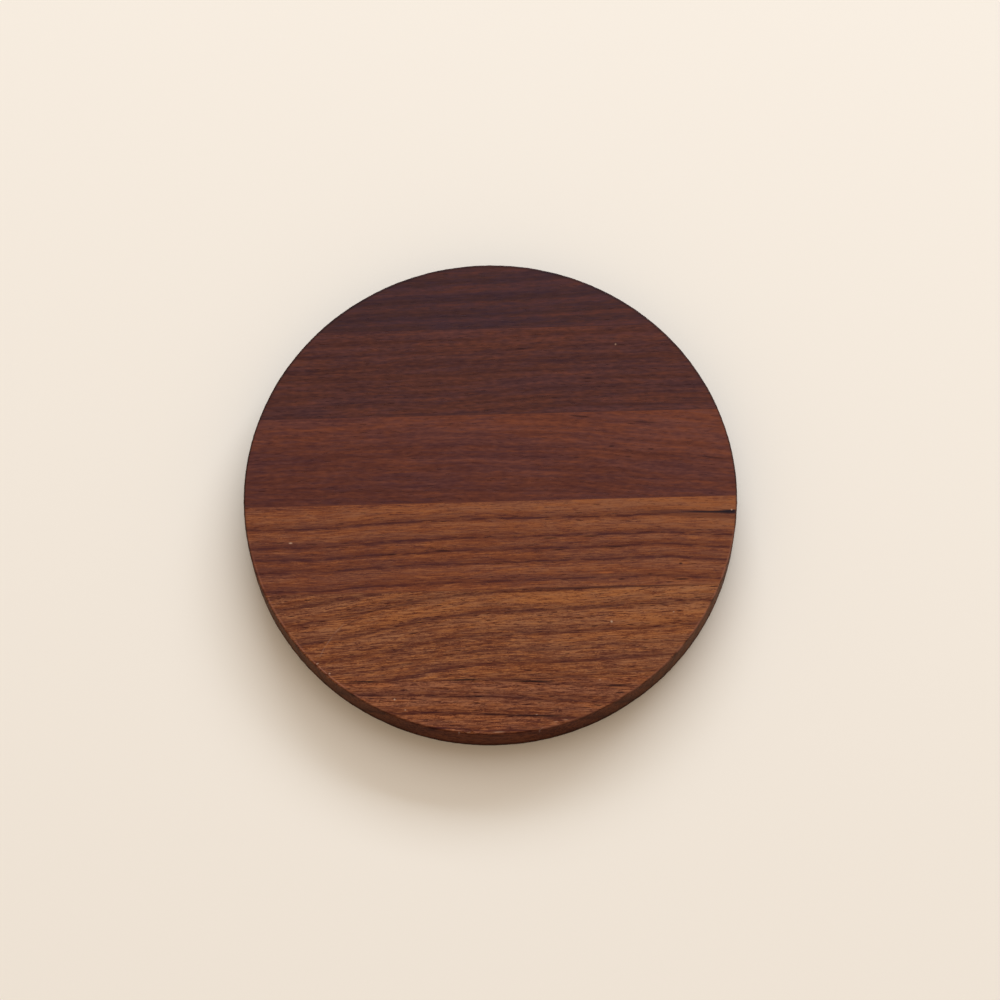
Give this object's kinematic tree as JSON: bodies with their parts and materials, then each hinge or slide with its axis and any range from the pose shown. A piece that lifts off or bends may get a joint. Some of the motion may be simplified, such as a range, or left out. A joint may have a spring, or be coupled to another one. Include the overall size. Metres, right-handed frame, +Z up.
{
  "type": "drink coaster",
  "caption": "Flat round drink coaster of dark oiled hardwood, cut from parallel staves glued edge to edge, with a softened rim on both faces.",
  "frame": {"origin": "centre of the disc's underside, on the surface it lies on", "axes": "+Z up through the thickness; X along the grain and the seams, +X to the right seen from the front; +Y towards the back, darkest stave"},
  "size_m": [0.1, 0.1, 0.009],
  "materials": {
    "back_stave_wood": "oiled, satin, very dark purple-brown",
    "second_stave_wood": "oiled, satin, dark red-brown",
    "third_stave_wood": "oiled, satin, warm red-brown",
    "fourth_stave_wood": "oiled, satin, golden brown with dark growth lines",
    "fifth_stave_wood": "oiled, satin, golden brown with dark growth lines",
    "front_stave_wood": "oiled, satin, golden red-brown",
    "glue": "cured wood glue, sanded flush and oiled over"
  },
  "bodies": {
    "root": {"back_stave": "back_stave_wood", "second_stave": "second_stave_wood", "third_stave": "third_stave_wood", "fourth_stave": "fourth_stave_wood", "fifth_stave": "fifth_stave_wood", "front_stave": "front_stave_wood", "glue_line_1": "glue", "glue_line_2": "glue", "glue_line_3": "glue", "glue_line_4": "glue", "glue_line_5": "glue"}
  },
  "joints": []
}
